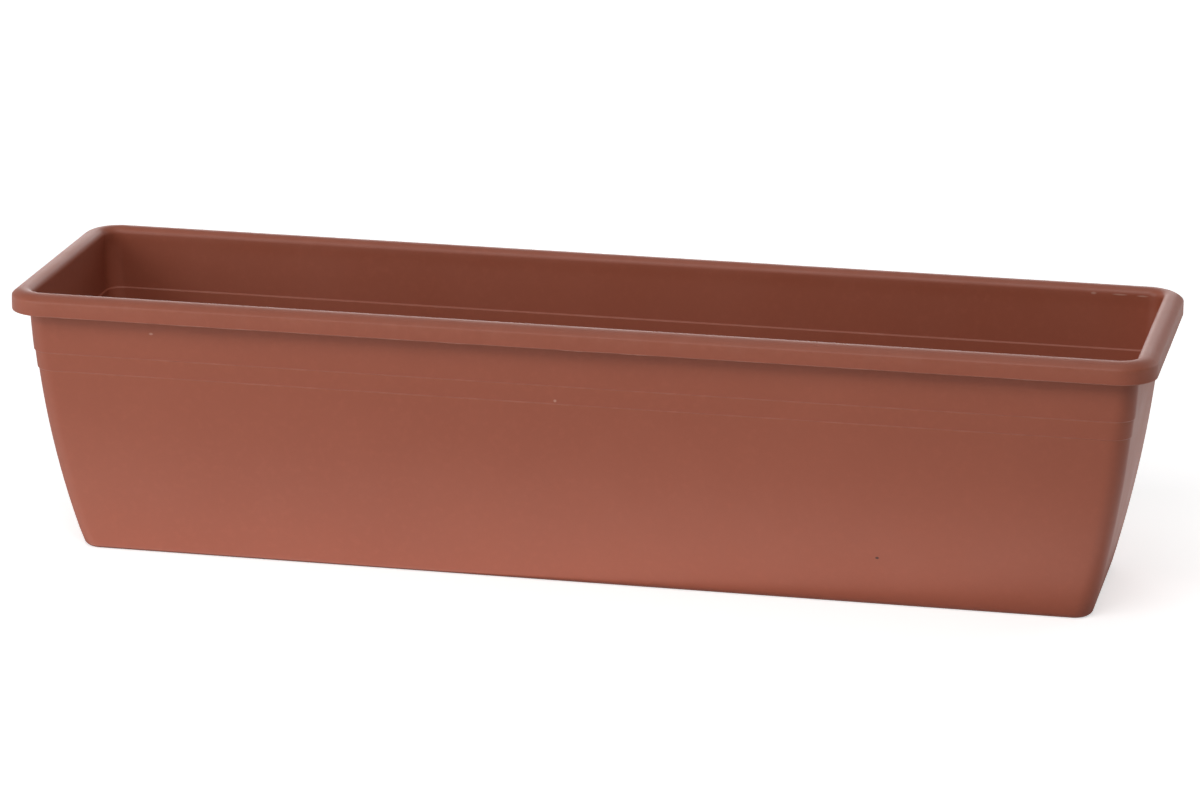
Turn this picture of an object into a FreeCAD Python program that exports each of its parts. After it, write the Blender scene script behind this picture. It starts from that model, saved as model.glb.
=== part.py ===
import FreeCAD, Part
import math
import os
import re
import Sketcher
from FreeCAD import Vector

# Window box planter: a long moulded trough with a rolled rim, curved walls with two fine
# steps, a raised floor panel, and push-in plugs that close its drain holes from the inside.
# Frame: +X along the box, +Y to the back, +Z up, origin at the middle of the footprint.

# Driving dimensions, in millimetres, degrees or counts. Every other size follows from them.
DIMENSIONS = [
    # Rim: outside size, and the section that is rolled over and down into a skirt.
    ("rim_length", 600.0),
    ("rim_width", 164.0),
    ("total_height", 145.0),
    ("rim_corner_radius", 20.0),
    ("rim_depth", 10.8),
    ("rim_fall", 3.2),
    ("rim_shoulder_radius", 1.6),
    ("mouth_radius", 4.0),
    # Walls: insets are measured inward from the face of the skirt.
    ("wall_thickness", 1.8),
    ("wall_inset", 9.3),
    ("end_base_inset", 31.2),
    ("side_base_inset", 30.4),
    ("wall_top_draft", 2.6),
    ("wall_base_corner_radius", 9.5),
    # Two fine steps that run round the walls.
    ("step_one_depth", 33.6),
    ("step_two_depth", 43.5),
    ("step_set_in", 0.5),
    # Base: a ring that the box stands on, round a raised floor panel.
    ("base_thickness", 2.2),
    ("base_edge_radius", 4.4),
    ("foot_ring_width", 12.0),
    ("panel_rise", 3.6),
    ("panel_corner_radius", 8.0),
    ("panel_edge_bevel", 1.0),
    # Stiffening ribs, under the rim and under the floor panel.
    ("rim_rib_count", 5),
    ("rim_rib_spacing", 108.0),
    ("rim_rib_thickness", 1.4),
    ("rim_rib_recess", 1.6),
    ("floor_rib_thickness", 1.6),
    ("floor_rib_clearance", 0.8),
    # Drain holes, each with a round seat above.
    ("drain_count", 6),
    ("drain_spacing", 86.0),
    ("drain_hole_diameter", 12.0),
    ("drain_seat_depth", 0.6),
    # Drain plugs.
    ("plug_shank_clearance", 0.05),
    ("plug_seat_clearance", 0.5),
    ("plug_flange_width", 4.2),
    ("plug_flange_thickness", 1.5),
    ("plug_ground_clearance", 0.9),
    ("plug_tab_width", 12.0),
    ("plug_tab_height", 8.0),
    ("plug_tab_thickness", 2.4),
    ("plug_tab_bevel", 2.5),
]

# Heights and sizes that several features share, as formulas in the dimensions above.
SKIRT_FOOT = "(total_height - rim_depth)"
STEP_ONE = "(total_height - step_one_depth)"
STEP_TWO = "(total_height - step_two_depth)"
PANEL_TOP = "(panel_rise + base_thickness)"
SEAT = f"({PANEL_TOP} - drain_seat_depth)"
CREST_INSET = "(wall_inset + wall_thickness - mouth_radius)"
CROWN_RADIUS = f"(({CREST_INSET} ^ 2 + rim_fall ^ 2) / (2 * rim_fall))"
HOLLOW_EDGE = "(total_height - rim_fall - wall_thickness / 2)"
RECESS_LENGTH = "(rim_length - 2 * (end_base_inset + foot_ring_width))"
RECESS_WIDTH = "(rim_width - 2 * (side_base_inset + foot_ring_width))"
SHANK_RADIUS = "(drain_hole_diameter / 2 - plug_shank_clearance)"
FLANGE_RADIUS = "(drain_hole_diameter / 2 + plug_flange_width)"
DRAIN_REACH = "((drain_count - 1) * drain_spacing / 2)"

# Ruled bands between the base and the lower step, each within 0.04 mm of the walls' curve.
CURVE_BANDS = 8

# How nearly an edge must lie at a height to count as level there.
LEVEL_TOLERANCE = 1e-3

UP = Vector(0, 0, 1)

doc = FreeCAD.newDocument("WindowBoxPlanter")
sheet = doc.addObject("Spreadsheet::Sheet", "Sizes")


def fill_sheet():
    for row, (alias, number) in enumerate(DIMENSIONS, start=1):
        sheet.set(f"A{row}", alias.replace("_", " "))
        sheet.set(f"B{row}", str(number))
        sheet.setAlias(f"B{row}", alias)
    doc.recompute()


def bound(formula):
    """A formula in aliases, as an expression that reads the sheet."""
    return re.sub(r"\b([a-z]+(?:_[a-z]+)+)\b", r"Sizes.\1", formula)


def value(formula):
    """What a formula comes to with the sheet's present numbers."""
    return float(sheet.evalExpression(bound(formula)))


def new_body(label):
    body = doc.addObject("PartDesign::Body", label)
    body.Label = label
    return body


def origin_plane(body, role):
    return next(item for item in body.Origin.OriginFeatures if item.Role == role)


def new_sketch(body, name, role, lift="0"):
    """A sketch on one of the body's own origin planes, lifted along the plane's normal."""
    sketch = body.newObject("Sketcher::SketchObject", name)
    sketch.AttachmentSupport = (origin_plane(body, role), [""])
    sketch.MapMode = "FlatFace"
    sketch.setExpression("AttachmentOffset.Base.z", bound(lift))
    return sketch


def drive(sketch, kind, places, formula):
    """Adds a dimension to a sketch and binds it to a formula."""
    index = sketch.addConstraint(Sketcher.Constraint(kind, *places, value(formula)))
    sketch.setExpression(f"Constraints[{index}]", bound(formula))


def arc(x, y, radius, start, sweep=90):
    circle = Part.Circle(Vector(x, y, 0), UP, radius)
    return Part.ArcOfCircle(circle, math.radians(start), math.radians(start + sweep))


def line(x1, y1, x2, y2):
    return Part.LineSegment(Vector(x1, y1, 0), Vector(x2, y2, 0))


def draw_rounded_rectangle(sketch, length, width, radius):
    """Four sides and four round corners about the origin, from the front side round."""
    a = value(length) / 2
    b = value(width) / 2
    r = value(radius)
    sides = [
        line(r - a, -b, a - r, -b),
        arc(a - r, r - b, r, 270),
        line(a, r - b, a, b - r),
        arc(a - r, b - r, r, 0),
        line(a - r, b, r - a, b),
        arc(r - a, b - r, r, 90),
        line(-a, b - r, -a, r - b),
        arc(r - a, r - b, r, 180),
    ]
    sketch.addGeometry(sides, False)
    for side in range(8):
        sketch.addConstraint(Sketcher.Constraint("Tangent", side, 2, (side + 1) % 8, 1))
    for side, direction in ((0, "Horizontal"), (2, "Vertical"), (4, "Horizontal"), (6, "Vertical")):
        sketch.addConstraint(Sketcher.Constraint(direction, side))
    for corner in (3, 5, 7):
        sketch.addConstraint(Sketcher.Constraint("Equal", 1, corner))
    sketch.addConstraint(Sketcher.Constraint("Symmetric", 0, 1, 4, 1, -1, 1))
    drive(sketch, "DistanceX", (6, 1, 2, 1), length)
    drive(sketch, "DistanceY", (0, 1, 4, 1), width)
    drive(sketch, "Radius", (1,), radius)


def draw_circle(sketch, x, radius):
    """A circle on the sketch's horizontal axis."""
    sketch.addGeometry(Part.Circle(Vector(value(x), 0, 0), UP, value(radius)), False)
    sketch.addConstraint(Sketcher.Constraint("PointOnObject", 0, 3, -1))
    drive(sketch, "DistanceX", (0, 3, -1, 1), f"-1 * ({x})")
    drive(sketch, "Radius", (0,), radius)


def draw_polygon(sketch, corners):
    """A closed outline through corners given as pairs of formulas, each one a dimension."""
    points = [(value(x), value(y)) for x, y in corners]
    count = len(points)
    for start, end in zip(points, points[1:] + points[:1]):
        sketch.addGeometry(line(*start, *end), False)
    for side in range(count):
        sketch.addConstraint(Sketcher.Constraint("Coincident", side, 2, (side + 1) % count, 1))
    for side, (x, y) in enumerate(corners):
        drive(sketch, "DistanceX", (-1, 1, side, 1), x)
        drive(sketch, "DistanceY", (-1, 1, side, 1), y)


def add_pad(body, name, sketch, length, reversed_way=False, midplane=False):
    pad = body.newObject("PartDesign::Pad", name)
    pad.Profile = sketch
    pad.setExpression("Length", bound(length))
    pad.Reversed = reversed_way
    pad.Midplane = midplane
    doc.recompute()
    return pad


def add_pocket(body, name, sketch, depth, reversed_way=False):
    """Cuts a sketch into the body, and makes sure that it removed something."""
    before = body.Shape.Volume
    pocket = body.newObject("PartDesign::Pocket", name)
    pocket.Profile = sketch
    pocket.setExpression("Length", bound(depth))
    pocket.Reversed = reversed_way
    doc.recompute()
    if body.Shape.Volume >= before:
        raise RuntimeError(f"{name} cuts nothing")
    return pocket


def add_row(body, name, feature, sketch, count, spacing):
    """Repeats a feature along the sketch's horizontal axis."""
    row = body.newObject("PartDesign::LinearPattern", name)
    row.Originals = [feature]
    row.Direction = (sketch, ["H_Axis"])
    row.setExpression("Length", bound(f"({count} - 1) * {spacing}"))
    row.setExpression("Occurrences", bound(count))
    body.Tip = row
    doc.recompute()
    return row


def add_mirror(body, name, feature, role):
    mirror = body.newObject("PartDesign::Mirrored", name)
    mirror.Originals = [feature]
    mirror.MirrorPlane = (origin_plane(body, role), [""])
    body.Tip = mirror
    doc.recompute()
    return mirror


def level_edges(shape, height):
    """Names of the edges that lie at one height."""
    names = []
    for index, edge in enumerate(shape.Edges, start=1):
        box = edge.BoundBox
        if max(abs(box.ZMin - height), abs(box.ZMax - height)) < LEVEL_TOLERANCE:
            names.append(f"Edge{index}")
    return names


def dress_edges(body, kind, name, edges, measure, formula):
    """Rounds or bevels edges: kind is Fillet or Chamfer, measure its Radius or Size."""
    base = body.Tip
    dressed = body.newObject(f"PartDesign::{kind}", name)
    dressed.Base = (base, edges)
    dressed.setExpression(measure, bound(formula))
    body.Tip = dressed
    doc.recompute()


def wall_inset_at(height, base_inset, steps):
    """How far the wall stands in from the skirt: a draft that grows to the base, plus steps."""
    fall = f"({SKIRT_FOOT} - {height})"
    draft = "tan(wall_top_draft * 1 deg)"
    gain = f"({base_inset} - 2 * step_set_in - wall_inset - {draft} * {SKIRT_FOOT})"
    curve = f"wall_inset + {draft} * {fall} + {gain} * ({fall} / {SKIRT_FOOT}) ^ 2"
    return f"({curve} + {steps} * step_set_in)"


def wall_section(body, name, height, steps, skin):
    """The outline of the walls at one height, drawn in by skin from their outer face."""
    end = wall_inset_at(height, "end_base_inset", steps)
    side = wall_inset_at(height, "side_base_inset", steps)
    top_radius = "(rim_corner_radius - wall_inset)"
    share = f"({height} / {SKIRT_FOOT})"
    corner = f"wall_base_corner_radius + ({top_radius} - wall_base_corner_radius) * {share}"
    sketch = new_sketch(body, name, "XY_Plane", height)
    draw_rounded_rectangle(
        sketch,
        f"rim_length - 2 * ({end} + {skin})",
        f"rim_width - 2 * ({side} + {skin})",
        f"({corner} - {skin})",
    )
    return sketch


def add_loft(body, kind, name, sections, ruled):
    loft = body.newObject(f"PartDesign::{kind}", name)
    loft.Profile = sections[0]
    loft.Sections = sections[1:]
    loft.Ruled = ruled
    doc.recompute()


def add_wall_form(body, kind, name, bottom, skin):
    """The form of the walls as a solid, or as a cut: curved below the steps, straight above."""
    levels = []
    for band in range(CURVE_BANDS + 1):
        rise = f"{band} / {CURVE_BANDS} * ({STEP_TWO} - {bottom})"
        levels.append((f"({bottom} + {rise})", 2))
    levels.append((f"({STEP_TWO} + step_set_in)", 1))
    levels.append((STEP_ONE, 1))
    levels.append((f"({STEP_ONE} + step_set_in)", 0))
    levels.append((SKIRT_FOOT, 0))
    sections = []
    for number, (height, steps) in enumerate(levels, start=1):
        sections.append(wall_section(body, f"{name}Section{number}", height, steps, skin))
    # The lowest band is a loft of its own, because its edge is dressed later.
    add_loft(body, kind, f"{name}Foot", sections[:2], False)
    add_loft(body, kind, f"{name}Wall", sections[1:], True)


def rim_arcs(depth, breadth="rim_width"):
    """Sizes and mouth arc of the rim, at a depth below its surface, on one side of the box."""
    crest = value(f"{CREST_INSET} - {breadth} / 2")
    top = value("total_height")
    mouth = value(f"mouth_radius - {depth}")
    crown = value(f"{CROWN_RADIUS} - {depth}")
    mouth_arc = arc(crest, top - value("mouth_radius"), mouth, 0)
    return crest, top, mouth, crown, mouth_arc


def draw_rim_section(sketch):
    """The rolled rim: skirt, shoulder, crown and mouth, thin all round and open underneath."""
    face = value("-0.5 * rim_width")
    foot = value(SKIRT_FOOT)
    skin = value("wall_thickness")
    shoulder = value("rim_shoulder_radius")
    crest, top, mouth, crown, mouth_arc = rim_arcs("0")
    crown_centre = top - crown
    # The shoulder touches the skirt's face and the crown from inside.
    reach = crest - face - shoulder
    shoulder_height = crown_centre + math.sqrt((crown - shoulder) ** 2 - reach ** 2)
    shoulder_angle = math.degrees(math.atan2(shoulder_height - crown_centre, -reach))
    ceiling = value(HOLLOW_EDGE)
    wall = crest + mouth
    outline = [
        line(face, foot, face, shoulder_height),
        arc(face + shoulder, shoulder_height, shoulder, shoulder_angle, 180 - shoulder_angle),
        arc(crest, crown_centre, crown, 90, shoulder_angle - 90),
        mouth_arc,
        line(wall, top - mouth, wall, foot),
        line(wall, foot, wall - skin, foot),
        line(wall - skin, foot, wall - skin, top - mouth),
        line(wall - skin, top - mouth, crest, top - skin),
        line(crest, top - skin, face + skin, ceiling),
        line(face + skin, ceiling, face + skin, foot),
        line(face + skin, foot, face, foot),
    ]
    sketch.addGeometry(outline, False)
    # Ends that meet, as side, end, side, end. Arcs run anticlockwise, so some meet backwards.
    for ends in ((0, 2, 1, 2), (1, 1, 2, 2), (2, 1, 3, 2), (3, 1, 4, 1)):
        sketch.addConstraint(Sketcher.Constraint("Tangent", *ends))
    for side in range(4, 11):
        sketch.addConstraint(Sketcher.Constraint("Coincident", side, 2, (side + 1) % 11, 1))
    for side in (0, 4, 6, 9):
        sketch.addConstraint(Sketcher.Constraint("Vertical", side))
    for side in (5, 10):
        sketch.addConstraint(Sketcher.Constraint("Horizontal", side))
    sketch.addConstraint(Sketcher.Constraint("Horizontal", 6, 2, 3, 3))
    sketch.addConstraint(Sketcher.Constraint("Vertical", 7, 2, 3, 3))
    drive(sketch, "DistanceX", (0, 1, -1, 1), "rim_width / 2")
    drive(sketch, "DistanceY", (-1, 1, 0, 1), SKIRT_FOOT)
    drive(sketch, "DistanceY", (-1, 1, 5, 1), SKIRT_FOOT)
    drive(sketch, "DistanceX", (0, 1, 9, 2), "wall_thickness")
    drive(sketch, "DistanceX", (0, 1, 5, 2), "wall_inset")
    drive(sketch, "DistanceX", (5, 2, 5, 1), "wall_thickness")
    drive(sketch, "DistanceY", (-1, 1, 2, 1), "total_height")
    drive(sketch, "DistanceY", (-1, 1, 7, 2), "total_height - wall_thickness")
    drive(sketch, "DistanceY", (-1, 1, 9, 1), HOLLOW_EDGE)
    drive(sketch, "Radius", (1,), "rim_shoulder_radius")
    drive(sketch, "Radius", (2,), CROWN_RADIUS)
    drive(sketch, "Radius", (3,), "mouth_radius")


def draw_rim_rib(sketch, breadth):
    """A rib that fills the rim's hollow, ending in the middle of the skirt, crown and wall."""
    half = "wall_thickness / 2"
    face = value(f"{half} - {breadth} / 2")
    foot = value(f"{SKIRT_FOOT} + rim_rib_recess")
    crest, top, mouth, crown, mouth_arc = rim_arcs(half, breadth)
    crown_centre = top - value(CROWN_RADIUS)
    reach = crest - face
    height = crown_centre + math.sqrt(crown ** 2 - reach ** 2)
    angle = math.degrees(math.atan2(height - crown_centre, -reach))
    wall = crest + mouth
    mouth_centre = top - value("mouth_radius")
    outline = [
        line(face, foot, wall, foot),
        line(wall, foot, wall, mouth_centre),
        mouth_arc,
        arc(crest, crown_centre, crown, 90, angle - 90),
        line(face, height, face, foot),
    ]
    sketch.addGeometry(outline, False)
    for ends in ((1, 2, 2, 1), (2, 2, 3, 1)):
        sketch.addConstraint(Sketcher.Constraint("Tangent", *ends))
    for ends in ((0, 2, 1, 1), (3, 2, 4, 1), (4, 2, 0, 1)):
        sketch.addConstraint(Sketcher.Constraint("Coincident", *ends))
    sketch.addConstraint(Sketcher.Constraint("Horizontal", 0))
    for side in (1, 4):
        sketch.addConstraint(Sketcher.Constraint("Vertical", side))
    drive(sketch, "DistanceX", (0, 1, -1, 1), f"{breadth} / 2 - {half}")
    drive(sketch, "DistanceY", (-1, 1, 0, 1), f"{SKIRT_FOOT} + rim_rib_recess")
    drive(sketch, "DistanceX", (0, 1, 0, 2), "wall_inset")
    drive(sketch, "DistanceY", (-1, 1, 2, 2), f"total_height - {half}")
    drive(sketch, "Radius", (2,), f"mouth_radius - {half}")
    drive(sketch, "Radius", (3,), f"{CROWN_RADIUS} - {half}")


def add_rim(body):
    """Sweeps the rim's section round the box."""
    path = new_sketch(body, "RimPath", "XY_Plane", SKIRT_FOOT)
    draw_rounded_rectangle(path, "rim_length", "rim_width", "rim_corner_radius")
    section = new_sketch(body, "RimSection", "YZ_Plane", "rim_corner_radius - rim_length / 2")
    draw_rim_section(section)
    rim = body.newObject("PartDesign::AdditivePipe", "Rim")
    rim.Profile = section
    rim.Spine = (path, [])
    doc.recompute()


def add_rim_ribs(body):
    """Ribs under the rim: a row along each side, and one at the middle of each end."""
    offset = "(rim_rib_count - 1) * rim_rib_spacing / 2"
    side_section = new_sketch(body, "SideRibSection", "YZ_Plane", f"0 - {offset}")
    draw_rim_rib(side_section, "rim_width")
    side_rib = add_pad(body, "SideRib", side_section, "rim_rib_thickness", midplane=True)
    row = body.newObject("PartDesign::LinearPattern", "SideRibRow")
    row.Direction = (side_section, ["N_Axis"])
    row.setExpression("Length", bound("(rim_rib_count - 1) * rim_rib_spacing"))
    row.setExpression("Occurrences", bound("rim_rib_count * 1"))
    mirror = body.newObject("PartDesign::Mirrored", "SideRibMirror")
    mirror.MirrorPlane = (origin_plane(body, "XZ_Plane"), [""])
    both = body.newObject("PartDesign::MultiTransform", "SideRibs")
    both.Originals = [side_rib]
    both.Transformations = [row, mirror]
    body.Tip = both
    doc.recompute()
    end_section = new_sketch(body, "EndRibSection", "XZ_Plane")
    draw_rim_rib(end_section, "rim_length")
    end_rib = add_pad(body, "EndRib", end_section, "rim_rib_thickness", midplane=True)
    add_mirror(body, "EndRibs", end_rib, "YZ_Plane")


def add_floor_panel(body):
    """Raises the floor inside the ring that the box stands on."""
    rise = new_sketch(body, "PanelOutline", "XY_Plane", "base_thickness")
    draw_rounded_rectangle(
        rise,
        f"{RECESS_LENGTH} + 2 * base_thickness",
        f"{RECESS_WIDTH} + 2 * base_thickness",
        "panel_corner_radius + base_thickness",
    )
    add_pad(body, "Panel", rise, "panel_rise")
    panel_edges = level_edges(body.Shape, value(PANEL_TOP))
    dress_edges(body, "Chamfer", "PanelEdge", panel_edges, "Size", "panel_edge_bevel")
    recess = new_sketch(body, "RecessOutline", "XY_Plane")
    draw_rounded_rectangle(recess, RECESS_LENGTH, RECESS_WIDTH, "panel_corner_radius")
    add_pocket(body, "Recess", recess, "panel_rise", reversed_way=True)


def add_floor_ribs(body):
    """Ribs across the recess, midway between the drain holes, that stop short of the ground."""
    section = new_sketch(body, "FloorRibSection", "XY_Plane", "floor_rib_clearance")
    half = "floor_rib_thickness / 2"
    reach = f"({RECESS_WIDTH} + foot_ring_width) / 2"
    first = f"0 - {DRAIN_REACH} + drain_spacing / 2"
    corners = (
        (f"{first} - {half}", f"0 - {reach}"),
        (f"{first} + {half}", f"0 - {reach}"),
        (f"{first} + {half}", reach),
        (f"{first} - {half}", reach),
    )
    draw_polygon(section, corners)
    rib = add_pad(body, "FloorRib", section, "panel_rise")
    add_row(body, "FloorRibs", rib, section, "drain_count - 1", "drain_spacing")


def add_drains(body):
    """Drain holes in a row, each with a seat above for its plug's flange."""
    first = f"0 - {DRAIN_REACH}"
    seat_sketch = new_sketch(body, "DrainSeatOutline", "XY_Plane", PANEL_TOP)
    draw_circle(seat_sketch, first, f"{FLANGE_RADIUS} + plug_seat_clearance")
    seat = add_pocket(body, "DrainSeat", seat_sketch, "drain_seat_depth")
    add_row(body, "DrainSeats", seat, seat_sketch, "drain_count", "drain_spacing")
    hole_sketch = new_sketch(body, "DrainHoleOutline", "XY_Plane", PANEL_TOP)
    draw_circle(hole_sketch, first, "drain_hole_diameter / 2")
    hole = add_pocket(body, "DrainHole", hole_sketch, PANEL_TOP)
    add_row(body, "DrainHoles", hole, hole_sketch, "drain_count", "drain_spacing")


def build_trough():
    body = new_body("trough")
    add_wall_form(body, "AdditiveLoft", "Outside", "0", "0")
    base_edges = level_edges(body.Shape, 0)
    dress_edges(body, "Fillet", "BaseEdge", base_edges, "Radius", "base_edge_radius")
    add_wall_form(body, "SubtractiveLoft", "Inside", "base_thickness", "wall_thickness")
    floor_edges = level_edges(body.Shape, value("base_thickness"))
    floor_bevel = "base_edge_radius - base_thickness"
    dress_edges(body, "Chamfer", "FloorEdge", floor_edges, "Size", floor_bevel)
    add_rim(body)
    add_rim_ribs(body)
    add_floor_panel(body)
    add_floor_ribs(body)
    add_drains(body)
    return body


def build_plug(number):
    """A plug: a flange that lies on its seat, a shank below and a finger tab above."""
    body = new_body(f"drain_plug_{number}")
    tip = f"(drain_seat_depth - {PANEL_TOP} + plug_ground_clearance)"
    profile = new_sketch(body, "PlugProfile", "XZ_Plane")
    corners = (
        ("0", tip),
        (SHANK_RADIUS, tip),
        (SHANK_RADIUS, "0"),
        (FLANGE_RADIUS, "0"),
        (FLANGE_RADIUS, "plug_flange_thickness"),
        ("0", "plug_flange_thickness"),
    )
    draw_polygon(profile, corners)
    turned = body.newObject("PartDesign::Revolution", "Plug")
    turned.Profile = profile
    turned.ReferenceAxis = (profile, ["V_Axis"])
    turned.Angle = 360
    doc.recompute()
    add_tab(body)
    body.setExpression("Placement.Base.x", bound(f"{number - 1} * drain_spacing - {DRAIN_REACH}"))
    body.setExpression("Placement.Base.z", bound(SEAT))
    doc.recompute()
    return body


def add_tab(body):
    """The finger tab: a plate with bevelled top corners, standing on the flange."""
    outline = new_sketch(body, "TabOutline", "XZ_Plane")
    half = "plug_tab_width / 2"
    foot = "plug_flange_thickness / 2"
    top = "plug_flange_thickness + plug_tab_height"
    corners = (
        (f"0 - {half}", foot),
        (half, foot),
        (half, f"{top} - plug_tab_bevel"),
        (f"{half} - plug_tab_bevel", top),
        (f"plug_tab_bevel - {half}", top),
        (f"0 - {half}", f"{top} - plug_tab_bevel"),
    )
    draw_polygon(outline, corners)
    add_pad(body, "Tab", outline, "plug_tab_thickness", midplane=True)


def export(nodes):
    """Checks every object, then writes each sub-part under its own name."""
    for item in doc.Objects:
        if "Invalid" in item.State or "Error" in item.State:
            raise RuntimeError(f"{item.Label} failed: {item.State}")
    for node in nodes:
        if node.Shape.isNull() or not node.Shape.isValid():
            raise RuntimeError(f"{node.Label} has no valid shape")
    os.makedirs("parts", exist_ok=True)
    for node in nodes:
        node.Shape.exportStep(f"parts/{node.Label}.step")
        print(node.Label, len(node.Shape.Solids), round(node.Shape.Volume, 1))


fill_sheet()
parts = [build_trough()]
for number in range(1, int(value("drain_count * 1")) + 1):
    parts.append(build_plug(number))
export(parts)
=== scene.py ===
import math

import bmesh
import bpy
from mathutils import Matrix, Vector, noise


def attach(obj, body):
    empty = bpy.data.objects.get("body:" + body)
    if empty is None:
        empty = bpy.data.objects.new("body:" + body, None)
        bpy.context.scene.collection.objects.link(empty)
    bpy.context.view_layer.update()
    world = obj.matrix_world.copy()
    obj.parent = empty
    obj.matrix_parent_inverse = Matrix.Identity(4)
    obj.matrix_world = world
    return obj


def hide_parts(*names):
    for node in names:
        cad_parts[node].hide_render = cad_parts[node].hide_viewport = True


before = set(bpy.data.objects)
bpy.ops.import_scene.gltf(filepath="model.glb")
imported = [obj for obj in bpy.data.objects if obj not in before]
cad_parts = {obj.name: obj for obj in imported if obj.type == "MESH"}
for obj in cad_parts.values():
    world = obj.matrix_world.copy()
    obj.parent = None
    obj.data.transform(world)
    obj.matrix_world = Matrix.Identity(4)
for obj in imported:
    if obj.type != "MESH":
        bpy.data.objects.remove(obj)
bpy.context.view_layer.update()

MM = 0.001

# Camera: the photograph's view, as a long lens seen from the right and above.
IMAGE_WIDTH = 1200
SENSOR = 36.0
FOCAL_PIXELS = 5314.2
YAW = math.radians(11.650)
PITCH = math.radians(15.911)
ROLL = math.radians(0.525)
TARGET = Vector((0.00126, 0.0, 0.08526))
DISTANCE = 2.7974

# The trough's sizes in millimetres, as in the CAD.
LENGTH = 600.0
WIDTH = 164.0
HEIGHT = 145.0
RIM_CORNER = 20.0
RIM_DEPTH = 10.8
RIM_FALL = 3.2
SHOULDER = 1.6
MOUTH = 4.0
SKIN = 1.8
WALL_INSET = 9.3
END_BASE_INSET = 31.2
SIDE_BASE_INSET = 30.4
DRAFT = math.tan(math.radians(2.6))
BASE_CORNER = 9.5
STEP_SET_IN = 0.5
BASE = 2.2
BASE_EDGE = 4.4
FOOT_RING = 12.0
PANEL_RISE = 3.6
PANEL_CORNER = 8.0
SKIRT_FOOT = HEIGHT - RIM_DEPTH
STEP_ONE = HEIGHT - 33.6
STEP_TWO = HEIGHT - 43.5
PANEL_TOP = PANEL_RISE + BASE
# The middle of the crown over the wall, as an inset from the skirt's face.
CREST = WALL_INSET + SKIN - MOUTH
RIM_RIBS = 5
RIM_RIB_SPACING = 108.0
RIM_RIB_HALF = 0.7
RIM_RIB_RECESS = 1.6
FLOOR_RIB_HALF = 0.8
FLOOR_RIB_GROUND = 0.8
# How far a floor rib runs into the ring at each side.
FLOOR_RIB_SINK = 2.0
DRAINS = 6
DRAIN_SPACING = 86.0
HOLE_RADIUS = 6.0
HOLE_BEVEL = 0.12

# The drain plugs' sizes in millimetres, as in the CAD.
PLUG_GROUND = 0.9
PLUG_CLEARANCE = 0.05
PLUG_FLANGE = 1.5
FLANGE_RADIUS = HOLE_RADIUS + 4.2
SEAT_RADIUS = FLANGE_RADIUS + 0.5
SEAT_DEPTH = 0.6
SEAT = PANEL_TOP - SEAT_DEPTH
TAB_HEIGHT = 8.0
TAB_HALF = 6.0
TAB_BEVEL = 2.5
TAB_ROUND = 1.1

# Small rounds of the moulding's edges in millimetres. One of SOFT_ROUND or more is not scuffed.
SOFT_ROUND = 0.7
RECESS_ROUND = 0.3
RING_ROUND = 0.5
STEP_ROUND = 0.16
HOLLOW_ROUND = 0.6
HOLLOW_CORNER_ROUND = 0.5
SKIRT_INNER_ROUND = 0.25
SKIRT_OUTER_ROUND = 0.3
WALL_TOP_ROUND = 3.5
RISER_ROUND = 0.4
PANEL_BEVEL = 1.0
PANEL_ROUND = 0.7
# The most of a path's leg that a round takes, and the wear beside a round and along it.
ROUND_LIMIT = 0.45
WEAR_BESIDE = 0.4
WEAR_ALONG = 1.6

# Points of a ring: along a long side, along an end, and round a corner.
RING_STEPS = (96, 24, 14)
FLASH_STEPS = (420, 100, 20)
# Points of a circle.
HOLE_STEPS = 48
PLUG_STEPS = 72
# Rings of each arc, of the wall below its steps, and of a plug's tab.
ROUND_SHARES = (0.0, 0.25, 0.5, 0.75, 1.0)
FOOT_STEPS = 8
FLOOR_STEPS = 6
SHOULDER_STEPS = 5
CROWN_STEPS = 8
MOUTH_STEPS = 10
WALL_STEPS = 14
TAB_STEPS = 44
TAB_CORNER_STEPS = 10
# Loops that hold the wall flat beside its steps.
STEP_LOOP = 1.5

# Relief on the plastic, in metres: slow waves, and the grain of the mould.
WAVE_HEIGHT = 0.0004
SPARK_HEIGHT = 0.000018
# How closely each noise repeats, per metre.
CLOUD_SCALE = 7.0
WAVE_SCALE = 11.0
DULL_SCALE = 34.0
SCUFF_SCALE = 95.0
MOTTLE_SCALE = 260.0
SPARK_SCALE = 720.0
GRAIN_SCALE = 1500.0

# Plastics: deep and pale pigment, worn edges, roughness.
TERRACOTTA = ((0.308, 0.0775, 0.0395, 1.0), (0.332, 0.0865, 0.0455, 1.0), (0.46, 0.19, 0.135, 1.0), 0.47)
FLASH = ((0.36, 0.125, 0.082, 1.0), (0.40, 0.15, 0.10, 1.0), (0.50, 0.24, 0.18, 1.0), 0.45)
PLUG_BROWN = ((0.150, 0.046, 0.028, 1.0), (0.170, 0.055, 0.035, 1.0), (0.30, 0.14, 0.10, 1.0), 0.40)

# Studio: name, place, width, height in metres and power in watts of each soft lamp.
LAMPS = (
    ("FrontHigh", (0.15, -1.6, 1.6), 1.2, 1.0, 15.0),
    ("LeftFront", (-1.2, -1.3, 0.7), 1.0, 1.0, 11.5),
    ("Left", (-1.5, -0.2, 0.6), 1.6, 1.2, 2.0),
    ("Top", (0.0, 0.1, 1.8), 1.4, 1.2, 4.2),
    ("Back", (-0.3, 1.8, 0.85), 1.6, 0.9, 8.5),
    ("BackLow", (-0.62, 1.8, 0.27), 1.1, 0.42, 3.6),
    ("RightBack", (1.3, 1.0, 0.6), 1.0, 1.0, 4.0),
)
# Soft panels that lie on the paper and light the object from below, in front and at the right.
PANELS = (
    ("FrontPanel", (-0.20, -0.100, 0.0015), 1.10, 0.100, 0.185),
    ("SidePanel", (0.36, 0.15, 0.0015), 0.17, 0.44, 0.07),
)
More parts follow.
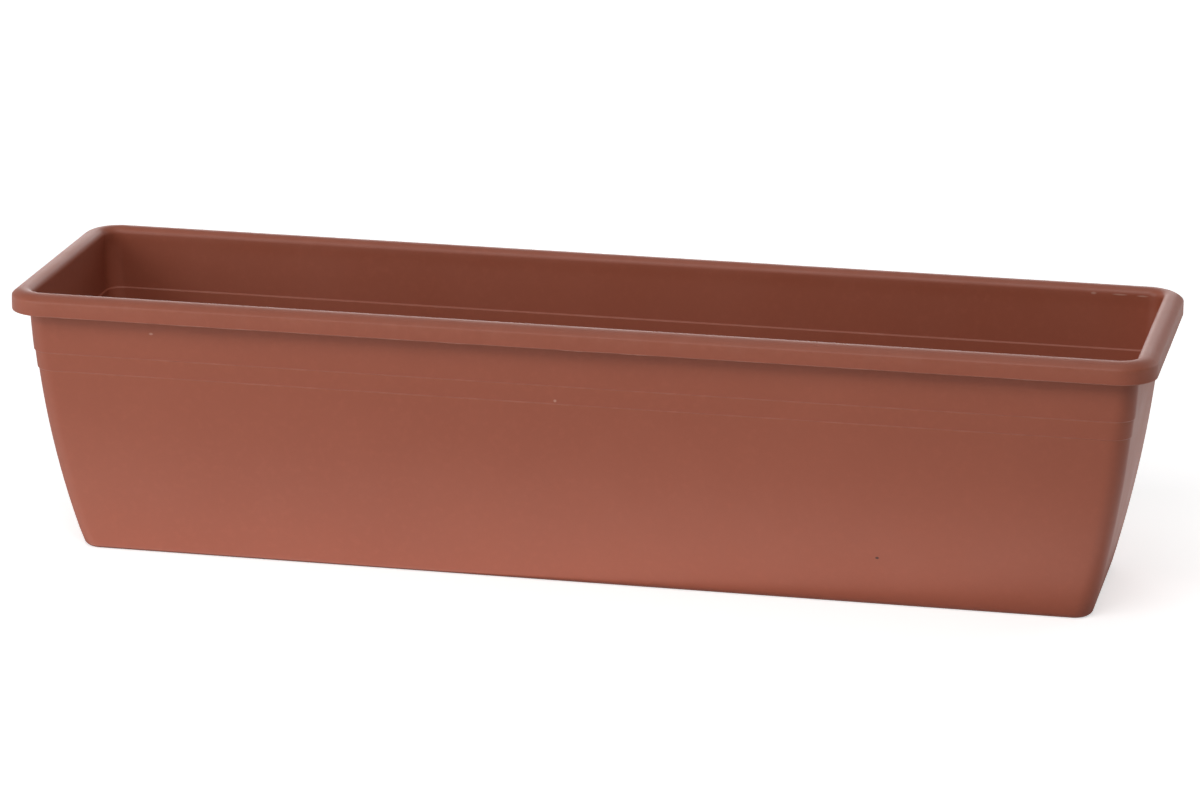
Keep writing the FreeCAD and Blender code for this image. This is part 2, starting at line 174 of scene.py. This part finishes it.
# The paper that the box stands on, in metres.
PAPER_SIZE = 30.0
PAPER_COLOR = (0.93, 0.93, 0.93, 1.0)
PAPER_ROUGHNESS = 0.95
# The white surround: how strongly the camera sees the paper glow, what the paper shows in
# reflections near the object and far from it, and the same for the room above it.
PAPER_GLOW = 0.6
PAPER_SHINE_NEAR = 0.1
PAPER_SHINE_FAR = 0.9
PAPER_NEAR = 0.7
PAPER_FAR = 1.5
# Under the box, within these distances of its middle, the paper does not glow.
DARK_HALF_LENGTH = 0.25
DARK_HALF_WIDTH = 0.035
WORLD_SHINE = 0.6
WORLD_FILL = 0.03

# Small marks on the trough: place in millimetres, radius, and how it is squeezed along X, Y, Z.
MARKS = {
    "dark": [((159.2, -58.0, 27.6), 1.0, (0.8, 0.5, 1.2))],
    "dark_color": (0.05, 0.018, 0.012, 1.0),
    "pale": [
        ((-222.4, -72.3, 126.0), 0.8, (0.6, 0.5, 1.0)),
        ((-7.9, -70.1, 103.6), 0.9, (0.9, 0.5, 0.9)),
        ((251.7, 71.5, 141.0), 0.9, (0.5, 0.3, 1.0)),
        ((265.5, 71.5, 141.0), 0.6, (0.12, 0.3, 1.0)),
        ((277.6, 71.5, 140.8), 0.6, (0.16, 0.3, 1.0)),
    ],
    "pale_color": (0.47, 0.23, 0.17, 1.0),
}


class Station:
    """A ring round the box: insets and heights at the ends and sides, corner radius, wear."""

    def __init__(self, end, side, corner, end_z, side_z, wear=0.0):
        self.values = (end, side, corner, end_z, side_z, wear)

    @staticmethod
    def between(a, b, share):
        mixed = [p + (q - p) * share for p, q in zip(a.values, b.values)]
        return Station(*mixed)

    def toward(self, other, share, wear):
        """The ring part of the way to another, with a wear of its own."""
        return Station(*Station.between(self, other, share).values[:5], wear)

    def distance(self, other):
        a = self.values
        b = other.values
        return math.hypot(a[1] - b[1], a[4] - b[4])


def rim_station(inset, z, wear=0.0):
    return Station(inset, inset, RIM_CORNER - inset, z, z, wear)


def wall_inset(z, base_inset, steps):
    """How far in the wall's outside is: drafted at the top, and curving in towards the base."""
    fall = SKIRT_FOOT - z
    gain = base_inset - 2 * STEP_SET_IN - WALL_INSET - DRAFT * SKIRT_FOOT
    return WALL_INSET + DRAFT * fall + gain * (fall / SKIRT_FOOT) ** 2 + steps * STEP_SET_IN


def wall_station(z, steps, skin):
    """A ring of the wall, below a number of its steps and a skin inside its outside."""
    top_corner = RIM_CORNER - WALL_INSET
    corner = BASE_CORNER + (top_corner - BASE_CORNER) * z / SKIRT_FOOT
    end = wall_inset(z, END_BASE_INSET, steps) + skin
    side = wall_inset(z, SIDE_BASE_INSET, steps) + skin
    return Station(end, side, corner - skin, z, z)


def base_station(inward, z, corner):
    return Station(END_BASE_INSET + inward, SIDE_BASE_INSET + inward, corner, z, z)


def foot_arc(radius, skin, floor, steps):
    """The round between floor and wall, from the floor up to the wall."""
    found = []
    for step in range(steps + 1):
        place = []
        for base_inset in (END_BASE_INSET, SIDE_BASE_INSET):
            foot = wall_inset(floor, base_inset, 2) + skin
            slope = (foot - skin - wall_inset(floor + radius, base_inset, 2)) / radius
            norm = math.hypot(1.0, slope)
            centre = foot + radius * (norm - slope)
            turn = math.atan2(1.0, slope) * step / steps
            place.append((centre - radius * math.sin(turn), floor + radius * (1 - math.cos(turn))))
        (end, end_z), (side, side_z) = place
        corner = BASE_CORNER - skin - (end - skin - END_BASE_INSET)
        found.append(Station(end, side, corner, end_z, side_z))
    return found


def rounded(path):
    """Replaces each corner of a path of (station, size) by a small round with loops beside it."""
    found = []
    last = len(path) - 1
    for index, (station, size) in enumerate(path):
        if size == 0 or index in (0, last):
            found.append(station)
            continue
        before = path[index - 1][0]
        before = path[index - 1][0]
        after = path[index + 1][0]
        back = min(ROUND_LIMIT, size / station.distance(before))
        ahead = min(ROUND_LIMIT, size / station.distance(after))
        # Wear belongs to the round alone, and a wide soft round has none.
        beside, along = (WEAR_BESIDE, WEAR_ALONG) if size < SOFT_ROUND else (0.0, 0.0)
        start = station.toward(before, back, beside)
        end = station.toward(after, ahead, beside)
        top = Station(*station.values[:5], along)
        found.append(station.toward(before, 2 * back, 0.0))
        for share in ROUND_SHARES:
            a = Station.between(start, top, share)
            b = Station.between(top, end, share)
            found.append(Station.between(a, b, share))
        found.append(station.toward(after, 2 * ahead, 0.0))
    return found


def outer_path():
    """From the ceiling of the recess up the wall's outside and round the rim's hollow."""
    beside = 1.2
    path = [
        (base_station(FOOT_RING + beside, PANEL_RISE, PANEL_CORNER - beside), 0),
        (base_station(FOOT_RING, PANEL_RISE, PANEL_CORNER), RECESS_ROUND),
        (base_station(FOOT_RING, 0, PANEL_CORNER), RING_ROUND),
    ]
    foot = foot_arc(BASE_EDGE, 0.0, 0.0, FOOT_STEPS)
    path += [(station, 0) for station in foot]
    bottom = foot[-1].values[3]
    rise = STEP_TWO - STEP_LOOP - bottom
    for step in range(1, WALL_STEPS + 1):
        path.append((wall_station(bottom + rise * step / WALL_STEPS, 2, 0), 0))
    path.append((wall_station(STEP_TWO, 2, 0), STEP_ROUND))
    path.append((wall_station(STEP_TWO + STEP_SET_IN, 1, 0), STEP_ROUND))
    above = STEP_SET_IN + STEP_LOOP
    for z in (STEP_TWO + above, (STEP_ONE + STEP_TWO) / 2, STEP_ONE - STEP_LOOP):
        path.append((wall_station(z, 1, 0), 0))
    path.append((wall_station(STEP_ONE, 1, 0), STEP_ROUND))
    path.append((wall_station(STEP_ONE + STEP_SET_IN, 0, 0), STEP_ROUND))
    for z in (STEP_ONE + above, 118.0, 126.0):
        path.append((wall_station(z, 0, 0), 0))
    path += [
        (rim_station(WALL_INSET, SKIRT_FOOT), 0),
        (rim_station(WALL_INSET, HEIGHT - MOUTH), HOLLOW_ROUND),
        (rim_station(CREST, HEIGHT - SKIN), HOLLOW_ROUND),
        (rim_station(SKIN, HEIGHT - RIM_FALL - SKIN / 2), HOLLOW_CORNER_ROUND),
        (rim_station(SKIN, SKIRT_FOOT), SKIRT_INNER_ROUND),
        (rim_station(0, SKIRT_FOOT), SKIRT_OUTER_ROUND),
    ]
    return path


def rim_arc_stations():
    """Shoulder, crown and mouth, from the skirt's face over to the inside."""
    crown = (CREST ** 2 + RIM_FALL ** 2) / (2 * RIM_FALL)
    crown_z = HEIGHT - crown
    reach = CREST - SHOULDER
    shoulder_z = crown_z + math.sqrt((crown - SHOULDER) ** 2 - reach ** 2)
    turn = math.atan2(shoulder_z - crown_z, reach)
    found = []
    for step in range(SHOULDER_STEPS + 1):
        angle = turn * step / SHOULDER_STEPS
        inset = SHOULDER - SHOULDER * math.cos(angle)
        found.append(rim_station(inset, shoulder_z + SHOULDER * math.sin(angle), 0.25))
    for step in range(1, CROWN_STEPS + 1):
        angle = turn + (math.pi / 2 - turn) * step / CROWN_STEPS
        inset = CREST - crown * math.cos(angle)
        found.append(rim_station(inset, crown_z + crown * math.sin(angle), 0.15))
    for step in range(1, MOUTH_STEPS + 1):
        angle = math.pi / 2 * step / MOUTH_STEPS
        inset = CREST + MOUTH * math.sin(angle)
        wear = 0.3 - 0.02 * step
        found.append(rim_station(inset, HEIGHT - MOUTH + MOUTH * math.cos(angle), wear))
    return found


def inner_path():
    """Down the inside from the mouth to the floor panel's top."""
    path = [
        (rim_station(WALL_INSET + SKIN, HEIGHT - MOUTH - 2.5), 0),
        (rim_station(WALL_INSET + SKIN, SKIRT_FOOT), WALL_TOP_ROUND),
    ]
    above = STEP_SET_IN + STEP_LOOP
    for z in (124.0, 118.0, STEP_ONE + above):
        path.append((wall_station(z, 0, SKIN), 0))
    path.append((wall_station(STEP_ONE + STEP_SET_IN, 0, SKIN), STEP_ROUND))
    path.append((wall_station(STEP_ONE, 1, SKIN), STEP_ROUND))
    for z in (STEP_ONE - STEP_LOOP, (STEP_ONE + STEP_TWO) / 2, STEP_TWO + above):
        path.append((wall_station(z, 1, SKIN), 0))
    path.append((wall_station(STEP_TWO + STEP_SET_IN, 1, SKIN), STEP_ROUND))
    path.append((wall_station(STEP_TWO, 2, SKIN), STEP_ROUND))
    foot = foot_arc(BASE_EDGE - BASE, SKIN, BASE, FLOOR_STEPS)
    top = STEP_TWO - STEP_LOOP
    fall = top - foot[-1].values[3]
    for step in range(WALL_STEPS + 1):
        path.append((wall_station(top - fall * step / (WALL_STEPS + 1), 2, SKIN), 0))
    path += [(station, 0) for station in reversed(foot)]
    riser = FOOT_RING - BASE
    corner = PANEL_CORNER + BASE
    path += [
        (base_station(riser - 1.5, BASE, corner + 1.5), 0),
        (base_station(riser, BASE, corner), RISER_ROUND),
        (base_station(riser, PANEL_TOP - PANEL_BEVEL, corner), RISER_ROUND),
        (base_station(riser + PANEL_BEVEL, PANEL_TOP, corner - PANEL_BEVEL), PANEL_ROUND),
        (base_station(riser + 3.0, PANEL_TOP, corner - 3.0), 0),
    ]
    return path


def ring_places(station, steps=RING_STEPS):
    """Points round the box with their wear, in metres, anticlockwise from the front left."""
    end, side, corner, end_z, side_z, wear = station.values
    long_steps, end_steps, corner_steps = steps
    a = LENGTH / 2 - end
    b = WIDTH / 2 - side
    r = max(corner, 0.05)
    sides = (
        ((r - a, -b), (a - r, -b), long_steps, (a - r, r - b), -90, side_z, end_z),
        ((a, r - b), (a, b - r), end_steps, (a - r, b - r), 0, end_z, side_z),
        ((a - r, b), (r - a, b), long_steps, (r - a, b - r), 90, side_z, end_z),
        ((-a, b - r), (-a, r - b), end_steps, (r - a, r - b), 180, end_z, side_z),
    )
    found = []
    for first, last, count, centre, start, z, next_z in sides:
        for step in range(count):
            share = step / count
            x = first[0] + (last[0] - first[0]) * share
            y = first[1] + (last[1] - first[1]) * share
            found.append((x, y, z))
        for step in range(corner_steps):
            share = step / corner_steps
            angle = math.radians(start + 90 * share)
            x = centre[0] + r * math.cos(angle)
            y = centre[1] + r * math.sin(angle)
            found.append((x, y, z + (next_z - z) * share))
    return [Vector(place) * MM for place in found], wear


def circle_places(x, radius, z, steps):
    found = []
    for step in range(steps):
        angle = 2 * math.pi * step / steps
        found.append(Vector((x + radius * math.cos(angle), radius * math.sin(angle), z)) * MM)
    return found


def add_loop(bm, layer, places, wear):
    loop = [bm.verts.new(place) for place in places]
    for vert in loop:
        vert[layer] = wear
    return loop


def bridge(bm, a, b):
    count = len(a)
    for index in range(count):
        after = (index + 1) % count
        bm.faces.new((a[index], a[after], b[after], b[index]))


def bridge_all(bm, loops):
    for a, b in zip(loops, loops[1:]):
        bridge(bm, a, b)


def fill_between(bm, outline, holes):
    """Fills the flat between one outline and the round holes inside it."""
    edges = []
    for loop in [outline] + holes:
        for index in range(len(loop)):
            edges.append(bm.edges.get((loop[index], loop[(index + 1) % len(loop)])))
    bmesh.ops.triangle_fill(bm, use_beauty=True, edges=edges)


def drain_places():
    return [(number - (DRAINS - 1) / 2) * DRAIN_SPACING for number in range(DRAINS)]


def mesh_object(name, bm):
    mesh = bpy.data.meshes.new(name)
    bm.to_mesh(mesh)
    bm.free()
    for face in mesh.polygons:
        face.use_smooth = True
    thing = bpy.data.objects.new(name, mesh)
    bpy.context.scene.collection.objects.link(thing)
    return thing


def add_slab(bm, outlines):
    """A closed straight-sided piece between two equal outlines."""
    near, far = ([bm.verts.new(Vector(place) * MM) for place in outline] for outline in outlines)
    count = len(near)
    bm.faces.new(near)
    bm.faces.new(list(reversed(far)))
    for index in range(count):
        after = (index + 1) % count
        bm.faces.new((near[after], near[index], far[index], far[after]))


def rim_rib_outline():
    """The rib's corners in the rim's hollow, as inset and height."""
    half = SKIN / 2
    wall = WALL_INSET + half
    foot = SKIRT_FOOT + RIM_RIB_RECESS
    return ((half, foot), (wall, foot), (wall, HEIGHT - MOUTH), (CREST, HEIGHT - 1.0), (half, HEIGHT - 3.6))


def add_ribs(bm):
    """Ribs in the rim's hollow, along the sides and amid the ends, and under the floor panel."""
    outline = rim_rib_outline()
    faces = (-RIM_RIB_HALF, RIM_RIB_HALF)
    for number in range(RIM_RIBS):
        x = (number - (RIM_RIBS - 1) / 2) * RIM_RIB_SPACING
        for way in (-1, 1):
            add_slab(bm, [[(x + d, way * (WIDTH / 2 - inset), z) for inset, z in outline] for d in faces])
    for way in (-1, 1):
        add_slab(bm, [[(way * (LENGTH / 2 - inset), d, z) for inset, z in outline] for d in faces])
    reach = WIDTH / 2 - SIDE_BASE_INSET - FOOT_RING + FLOOR_RIB_SINK
    foot = FLOOR_RIB_GROUND
    top = PANEL_RISE + FLOOR_RIB_GROUND
    outline = ((-reach, foot), (reach, foot), (reach, top), (-reach, top))
    faces = (-FLOOR_RIB_HALF, FLOOR_RIB_HALF)
    for number in range(DRAINS - 1):
        x = (number - (DRAINS - 2) / 2) * DRAIN_SPACING
        add_slab(bm, [[(x + d, y, z) for y, z in outline] for d in faces])


def drain_profile():
    """A seat and a hole, from the floor panel down to the recess: radius, height and wear."""
    return (
        (SEAT_RADIUS + 0.5, PANEL_TOP, 0.0),
        (SEAT_RADIUS + 0.15, PANEL_TOP, 0.2),
        (SEAT_RADIUS, PANEL_TOP - 0.1, 0.6),
        (SEAT_RADIUS, SEAT, 0.0),
        (SEAT_RADIUS - 0.4, SEAT, 0.0),
        (HOLE_RADIUS + 0.5, SEAT, 0.0),
        (HOLE_RADIUS + HOLE_BEVEL, SEAT, 0.3),
        (HOLE_RADIUS, SEAT - HOLE_BEVEL, 0.6),
        (HOLE_RADIUS, PANEL_RISE + HOLE_BEVEL, 0.3),
        (HOLE_RADIUS + HOLE_BEVEL, PANEL_RISE, 0.3),
        (HOLE_RADIUS + 0.6, PANEL_RISE, 0.0),
    )


def build_trough():
    """The whole moulding: one skin from the recess over the rim to the floor, with its drains."""
    bm = bmesh.new()
    layer = bm.verts.layers.float.new("edge_wear")
    stations = rounded(outer_path() + [(station, 0) for station in rim_arc_stations()] + inner_path())
    loops = [add_loop(bm, layer, *ring_places(station)) for station in stations]
    bridge_all(bm, loops)
    tops = []
    under = []
    for x in drain_places():
        rings = []
        for radius, z, wear in drain_profile():
            rings.append(add_loop(bm, layer, circle_places(x, radius, z, HOLE_STEPS), wear))
        bridge_all(bm, rings)
        tops.append(rings[0])
        under.append(rings[-1])
    fill_between(bm, loops[-1], tops)
    fill_between(bm, loops[0], under)
    add_ribs(bm)
    bmesh.ops.recalc_face_normals(bm, faces=bm.faces)
    return mesh_object("trough_shell", bm)


def flash_height(distance):
    """Height of the moulding flash at a distance along the skirt, in millimetres."""
    slow = noise.noise(Vector((distance / 23.0, 3.1, 0.0)))
    quick = noise.noise(Vector((distance / 3.1, 7.7, 0.0)))
    ragged = max(0.0, slow - 0.05) * 0.75
    return max(0.02, 0.07 + 0.10 * slow + ragged * (0.6 + quick))


def build_flash():
    """The thin ragged seam that the mould leaves under the skirt's outer edge."""
    bm = bmesh.new()
    layer = bm.verts.layers.float.new("edge_wear")
    loops = []
    # Inset and height of each edge, and whether it hangs down by the flash's height.
    for inset, z, hangs in ((0.10, 0.45, 0), (0.10, 0.0, 1), (0.24, 0.0, 1), (0.30, 0.45, 0)):
        places, _ = ring_places(rim_station(inset, SKIRT_FOOT + z), FLASH_STEPS)
        run = 0.0
        moved = []
        for index, place in enumerate(places):
            run += (place - places[index - 1]).length / MM if index else 0.0
            moved.append(place - Vector((0, 0, flash_height(run) * hangs)) * MM)
        loops.append(add_loop(bm, layer, moved, 1.0))
    bridge_all(bm, loops + loops[:1])
    bmesh.ops.recalc_face_normals(bm, faces=bm.faces)
    return mesh_object("skirt_flash", bm)


def smooth_share(value, low, high):
    share = min(1.0, max(0.0, (value - low) / (high - low)))
    return share * share * (3 - 2 * share)


def close_stack(bm, loops):
    """Joins a stack of loops and closes both its ends."""
    bridge_all(bm, loops)
    bm.faces.new(loops[0])
    bm.faces.new(loops[-1])


def plug_profile():
    """A plug's shank and flange: radius, height over the seat, and wear."""
    tip = PLUG_GROUND - SEAT
    shank = HOLE_RADIUS - PLUG_CLEARANCE
    flange = FLANGE_RADIUS
    top = PLUG_FLANGE
    return (
        # The shank: its end, the lead-in round it, and its side up to the seat.
        (3.2, tip + 0.02, 0.0),
        (shank - 1.1, tip, 0.0),
        (shank - 0.85, tip + 0.06, 0.4),
        (shank - 0.08, tip + 0.85, 0.3),
        (shank, tip + 1.05, 0.1),
        (shank, -0.3, 0.0),
        (shank, 0.0, 0.0),
        # The flange's underside and its worn edge.
        (shank + 0.3, 0.0, 0.0),
        (flange - 0.45, 0.0, 0.0),
        (flange - 0.12, 0.08, 0.3),
        (flange, 0.35, 0.5),
        (flange, top - 0.5, 0.4),
        (flange - 0.06, top - 0.22, 0.8),
        (flange - 0.22, top - 0.06, 0.9),
        (flange - 0.5, top, 0.5),
        # The shallow ring in its top, and the flat inside it.
        (flange - 1.3, top, 0.0),
        (flange - 1.5, top - 0.08, 0.2),
        (flange - 1.7, top - 0.25, 0.0),
        (flange - 2.2, top - 0.25, 0.0),
        (flange - 2.4, top - 0.08, 0.2),
        (flange - 2.6, top, 0.0),
        (6.4, top, 0.0),
        (0.6, top, 0.0),
    )


def tab_outline(x, z, half_width, half_thick):
    """A flat oval at one height of the finger tab, in metres."""
    found = []
    corner = min(half_thick, TAB_ROUND)
    for quarter, (sx, sy) in enumerate(((1, 1), (-1, 1), (-1, -1), (1, -1))):
        for step in range(TAB_CORNER_STEPS + 1):
            angle = math.radians(90 * (quarter + step / TAB_CORNER_STEPS))
            across = sx * (half_width - corner) + corner * math.cos(angle)
            depth = sy * (half_thick - corner) + corner * math.sin(angle)
            found.append(Vector((x + across, depth, z)) * MM)
    return found


def tab_loops(bm, layer, x):
    """The finger tab, from inside the flange to its rounded top, with ridges for the grip."""
    loops = []
    sunk = 0.3
    for row in range(TAB_STEPS + 1):
        rise = (TAB_HEIGHT + sunk) * row / TAB_STEPS - sunk
        turn = math.asin(smooth_share(rise, TAB_HEIGHT - 2.6, TAB_HEIGHT))
        half = TAB_HALF - TAB_BEVEL * (1 - math.cos(turn))
        flare = 0.45 * (1 - smooth_share(rise, 0.0, 1.1))
        ridge = math.sin(math.pi * (rise - 2.0) / 1.5) ** 2 if 2.0 < rise < 6.5 else 1.0
        crown = 0.75 * smooth_share(rise, TAB_HEIGHT - 0.8, TAB_HEIGHT) ** 2
        thick = 1.04 + flare + 0.16 * ridge - crown
        places = tab_outline(x, SEAT + PLUG_FLANGE + rise, half + 0.2 * flare, thick)
        loops.append(add_loop(bm, layer, places, 0.8 if row > TAB_STEPS - 5 else 0.25 * ridge))
    return loops


def build_plug(number, x):
    """A drain plug: a shank with a lead-in, a flange with a shallow ring, and a ridged tab."""
    bm = bmesh.new()
    layer = bm.verts.layers.float.new("edge_wear")
    loops = []
    for radius, z, wear in plug_profile():
        loops.append(add_loop(bm, layer, circle_places(x, radius, SEAT + z, PLUG_STEPS), wear))
    close_stack(bm, loops)
    close_stack(bm, tab_loops(bm, layer, x))
    bmesh.ops.recalc_face_normals(bm, faces=bm.faces)
    return mesh_object(f"plug_{number}_moulding", bm)


def add_node(tree, kind, inputs=(), **settings):
    made = tree.nodes.new(kind)
    for name, setting in settings.items():
        setattr(made, name, setting)
    for place, source in inputs:
        if isinstance(source, bpy.types.NodeSocket):
            tree.links.new(source, made.inputs[place])
        else:
            made.inputs[place].default_value = source
    return made


def add_noise(tree, where, scale, detail=2.0, roughness=0.5):
    inputs = (("Vector", where), ("Scale", scale), ("Detail", detail), ("Roughness", roughness))
    return add_node(tree, "ShaderNodeTexNoise", inputs).outputs["Fac"]


def add_range(tree, source, low, high, to_low=0.0, to_high=1.0):
    inputs = (
        ("Value", source), ("From Min", low), ("From Max", high), ("To Min", to_low), ("To Max", to_high)
    )
    return add_node(tree, "ShaderNodeMapRange", inputs, clamp=True).outputs["Result"]


def add_math(tree, operation, *values):
    return add_node(tree, "ShaderNodeMath", enumerate(values), operation=operation).outputs[0]


def add_vector_math(tree, operation, result, *values):
    return add_node(tree, "ShaderNodeVectorMath", enumerate(values), operation=operation).outputs[result]


def add_mix(tree, share, a, b):
    return add_node(tree, "ShaderNodeMix", ((0, share), (6, a), (7, b)), data_type="RGBA").outputs[2]


def add_spot(tree, where, centre, radius, stretch):
    """A soft spot about a point of the object, stretched along its axes."""
    scaled = add_vector_math(tree, "MULTIPLY", "Vector", where, stretch)
    middle = tuple(c * MM * k for c, k in zip(centre, stretch))
    gap = add_vector_math(tree, "DISTANCE", "Value", scaled, middle)
    return add_range(tree, gap, radius * MM * 0.45, radius * MM, 1.0, 0.0)


def add_spots(tree, where, spots):
    total = None
    for spot in spots:
        made = add_spot(tree, where, *spot)
        total = made if total is None else add_math(tree, "MAXIMUM", total, made)
    return total


def moulded_plastic(name, deep, pale, worn, roughness, marks=None):
    """Satin injection-moulded plastic: clouded pigment, fine spark grain, scuffed edges."""
    material = bpy.data.materials.new(name)
    material.use_nodes = True
    tree = material.node_tree
    shader = tree.nodes["Principled BSDF"]
    shader.inputs["IOR"].default_value = 1.49
    shader.inputs["Specular IOR Level"].default_value = 0.5
    where = add_node(tree, "ShaderNodeTexCoord").outputs["Object"]
    cloud = add_noise(tree, where, CLOUD_SCALE, 4.0, 0.6)
    mottle = add_noise(tree, where, MOTTLE_SCALE, 3.0)
    grain = add_noise(tree, where, GRAIN_SCALE)
    color = add_mix(tree, add_range(tree, cloud, 0.32, 0.68), deep, pale)
    lighter = tuple(min(1.0, c * 1.07) for c in pale[:3]) + (1.0,)
    darker = tuple(c * 0.90 for c in deep[:3]) + (1.0,)
    color = add_mix(tree, add_range(tree, mottle, 0.50, 0.78, 0.0, 0.55), color, lighter)
    color = add_mix(tree, add_range(tree, grain, 0.60, 0.72, 0.0, 0.35), color, darker)
    wear = add_node(tree, "ShaderNodeAttribute", attribute_name="edge_wear").outputs["Fac"]
    scuff = add_range(tree, add_noise(tree, where, SCUFF_SCALE, 5.0, 0.65), 0.42, 0.66)
    worn_share = add_math(tree, "MULTIPLY", wear, add_range(tree, scuff, 0.0, 1.0, 0.08, 0.5))
    color = add_mix(tree, worn_share, color, worn)
    dull = add_noise(tree, where, DULL_SCALE, 4.0, 0.6)
    rough = add_range(tree, dull, 0.3, 0.7, roughness - 0.03, roughness + 0.04)
    rough = add_math(tree, "ADD", rough, add_math(tree, "MULTIPLY", worn_share, 0.12))
    if marks:
        color = add_mix(tree, add_spots(tree, where, marks["dark"]), color, marks["dark_color"])
        color = add_mix(tree, add_spots(tree, where, marks["pale"]), color, marks["pale_color"])
    wave = add_noise(tree, where, WAVE_SCALE)
    spark = add_noise(tree, where, SPARK_SCALE, 3.0, 0.6)
    height = add_math(tree, "MULTIPLY", wave, WAVE_HEIGHT)
    height = add_math(tree, "ADD", height, add_math(tree, "MULTIPLY", spark, SPARK_HEIGHT))
    height = add_math(tree, "ADD", height, add_math(tree, "MULTIPLY", mottle, SPARK_HEIGHT))
    bump = add_node(tree, "ShaderNodeBump", (("Strength", 1.0), ("Distance", 1.0), ("Height", height)))
    tree.links.new(color, shader.inputs["Base Color"])
    tree.links.new(rough, shader.inputs["Roughness"])
    tree.links.new(bump.outputs["Normal"], shader.inputs["Normal"])
    return material


def add_camera():
    back = Vector((math.sin(YAW) * math.cos(PITCH), -math.cos(YAW) * math.cos(PITCH), math.sin(PITCH)))
    right = Vector((math.cos(YAW), math.sin(YAW), 0.0))
    up = back.cross(right)
    rolled_right = right * math.cos(ROLL) + up * math.sin(ROLL)
    rolled_up = up * math.cos(ROLL) - right * math.sin(ROLL)
    lens = bpy.data.cameras.new("Camera")
    lens.sensor_width = SENSOR
    lens.lens = FOCAL_PIXELS / IMAGE_WIDTH * SENSOR
    camera = bpy.data.objects.new("Camera", lens)
    turn = Matrix((rolled_right, rolled_up, back)).transposed()
    camera.matrix_world = Matrix.Translation(TARGET + back * DISTANCE) @ turn.to_4x4()
    bpy.context.scene.collection.objects.link(camera)
    bpy.context.scene.camera = camera


def add_floor():
    """White paper: it keeps a soft shadow, and shows white to the camera and in reflections."""
    bpy.ops.mesh.primitive_plane_add(size=PAPER_SIZE)
    floor = bpy.context.object
    floor.name = "Floor"
    material = bpy.data.materials.new("FloorPaper")
    material.use_nodes = True
    tree = material.node_tree
    paper = tree.nodes["Principled BSDF"]
    paper.inputs["Base Color"].default_value = PAPER_COLOR
    paper.inputs["Roughness"].default_value = PAPER_ROUGHNESS
    paper.inputs["Specular IOR Level"].default_value = 0.0
    where = add_node(tree, "ShaderNodeTexCoord").outputs["Object"]
    rays = add_node(tree, "ShaderNodeLightPath").outputs
    # Under the box the paper stays dark, as an open drain hole shows.
    sides = add_node(tree, "ShaderNodeSeparateXYZ", ((0, where),)).outputs
    within_length = add_math(tree, "COMPARE", sides["X"], 0.0, DARK_HALF_LENGTH)
    within_width = add_math(tree, "COMPARE", sides["Y"], 0.0, DARK_HALF_WIDTH)
    open_paper = add_math(tree, "SUBTRACT", 1.0, add_math(tree, "MULTIPLY", within_length, within_width))
    seen = add_math(tree, "MAXIMUM", rays["Is Camera Ray"], rays["Is Transmission Ray"])
    seen = add_math(tree, "MULTIPLY", add_math(tree, "MULTIPLY", seen, PAPER_GLOW), open_paper)
    reach = add_vector_math(tree, "LENGTH", "Value", where)
    shine = add_range(tree, reach, PAPER_NEAR, PAPER_FAR, PAPER_SHINE_NEAR, PAPER_SHINE_FAR)
    shine = add_math(tree, "MULTIPLY", rays["Is Glossy Ray"], shine)
    glow = add_node(tree, "ShaderNodeEmission", (("Strength", add_math(tree, "MAXIMUM", seen, shine)),))
    both = add_node(tree, "ShaderNodeAddShader", ((0, paper.outputs[0]), (1, glow.outputs[0])))
    tree.links.new(both.outputs[0], tree.nodes["Material Output"].inputs["Surface"])
    floor.data.materials.append(material)


def add_area(name, place, width, height, power, aim=(0.0, 0.0, 0.08), shape="RECTANGLE"):
    """A soft lamp that faces a point, and that the camera does not see."""
    light = bpy.data.lights.new(name, "AREA")
    light.shape = shape
    light.size = width
    light.size_y = height
    light.energy = power
    lamp = bpy.data.objects.new(name, light)
    lamp.location = place
    way = Vector(aim) - Vector(place)
    lamp.rotation_euler = way.to_track_quat("-Z", "Y").to_euler()
    lamp.visible_camera = False
    bpy.context.scene.collection.objects.link(lamp)


def add_world():
    """White to the camera, paler in reflections, and a faint fill for everything else."""
    world = bpy.data.worlds.new("Studio")
    bpy.context.scene.world = world
    world.use_nodes = True
    tree = world.node_tree
    sky = tree.nodes["Background"]
    sky.inputs["Color"].default_value = (1.0, 1.0, 1.0, 1.0)
    rays = add_node(tree, "ShaderNodeLightPath").outputs
    seen = add_math(tree, "MAXIMUM", rays["Is Camera Ray"], rays["Is Transmission Ray"])
    shine = add_math(tree, "MULTIPLY", rays["Is Glossy Ray"], WORLD_SHINE)
    strength = add_math(tree, "MAXIMUM", seen, shine)
    tree.links.new(add_math(tree, "MAXIMUM", strength, WORLD_FILL), sky.inputs["Strength"])


bpy.context.scene.view_settings.view_transform = "Standard"
add_camera()
add_floor()
add_world()
for lamp in LAMPS:
    add_area(*lamp)
for panel in PANELS:
    x, y, z = panel[1]
    add_area(*panel, aim=(x, y, 1.0), shape="ELLIPSE")

terracotta = moulded_plastic("TerracottaPlastic", *TERRACOTTA, MARKS)
flash_plastic = moulded_plastic("FlashPlastic", *FLASH)
plug_brown = moulded_plastic("PlugPlastic", *PLUG_BROWN)
for node_name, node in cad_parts.items():
    node.data.materials.clear()
    node.data.materials.append(terracotta if node_name == "trough" else plug_brown)

trough = build_trough()
trough.data.materials.append(terracotta)
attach(trough, "trough")
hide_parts("trough")

flash = build_flash()
flash.data.materials.append(flash_plastic)
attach(flash, "trough")

for number, x in enumerate(drain_places(), start=1):
    plug = build_plug(number, x)
    plug.data.materials.append(plug_brown)
    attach(plug, f"drain_plug_{number}")
    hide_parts(f"drain_plug_{number}")
